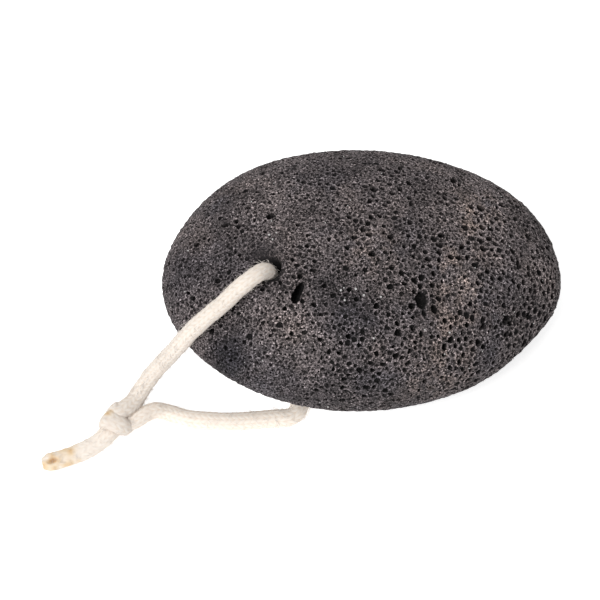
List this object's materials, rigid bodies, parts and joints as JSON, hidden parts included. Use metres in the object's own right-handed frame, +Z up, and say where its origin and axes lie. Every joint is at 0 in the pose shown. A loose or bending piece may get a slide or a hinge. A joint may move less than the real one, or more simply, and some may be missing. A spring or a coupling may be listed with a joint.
{
  "type": "pumice foot stone",
  "caption": "Oval grey pumice stone, pitted all over, lying on its worn underside, with a soft cotton hanging cord through a drilled hole and tied in a knot.",
  "frame": {"origin": "on the resting face, below the middle of the stone's own length and width; the cord is left out of the measure", "axes": "+X along the stone's length, away from the corded end; +Y across its width, away from the knot; +Z up"},
  "size_m": [0.1272, 0.0792, 0.0435],
  "materials": {
    "pumice": "dry, dull and pitted, warm dark grey",
    "cotton": "soft unbleached braided cotton, slightly fuzzy"
  },
  "bodies": {
    "root": {"pumice_stone": "pumice", "cord_loop": "cotton", "knot": "cotton", "cord_tail": "cotton"}
  },
  "joints": []
}
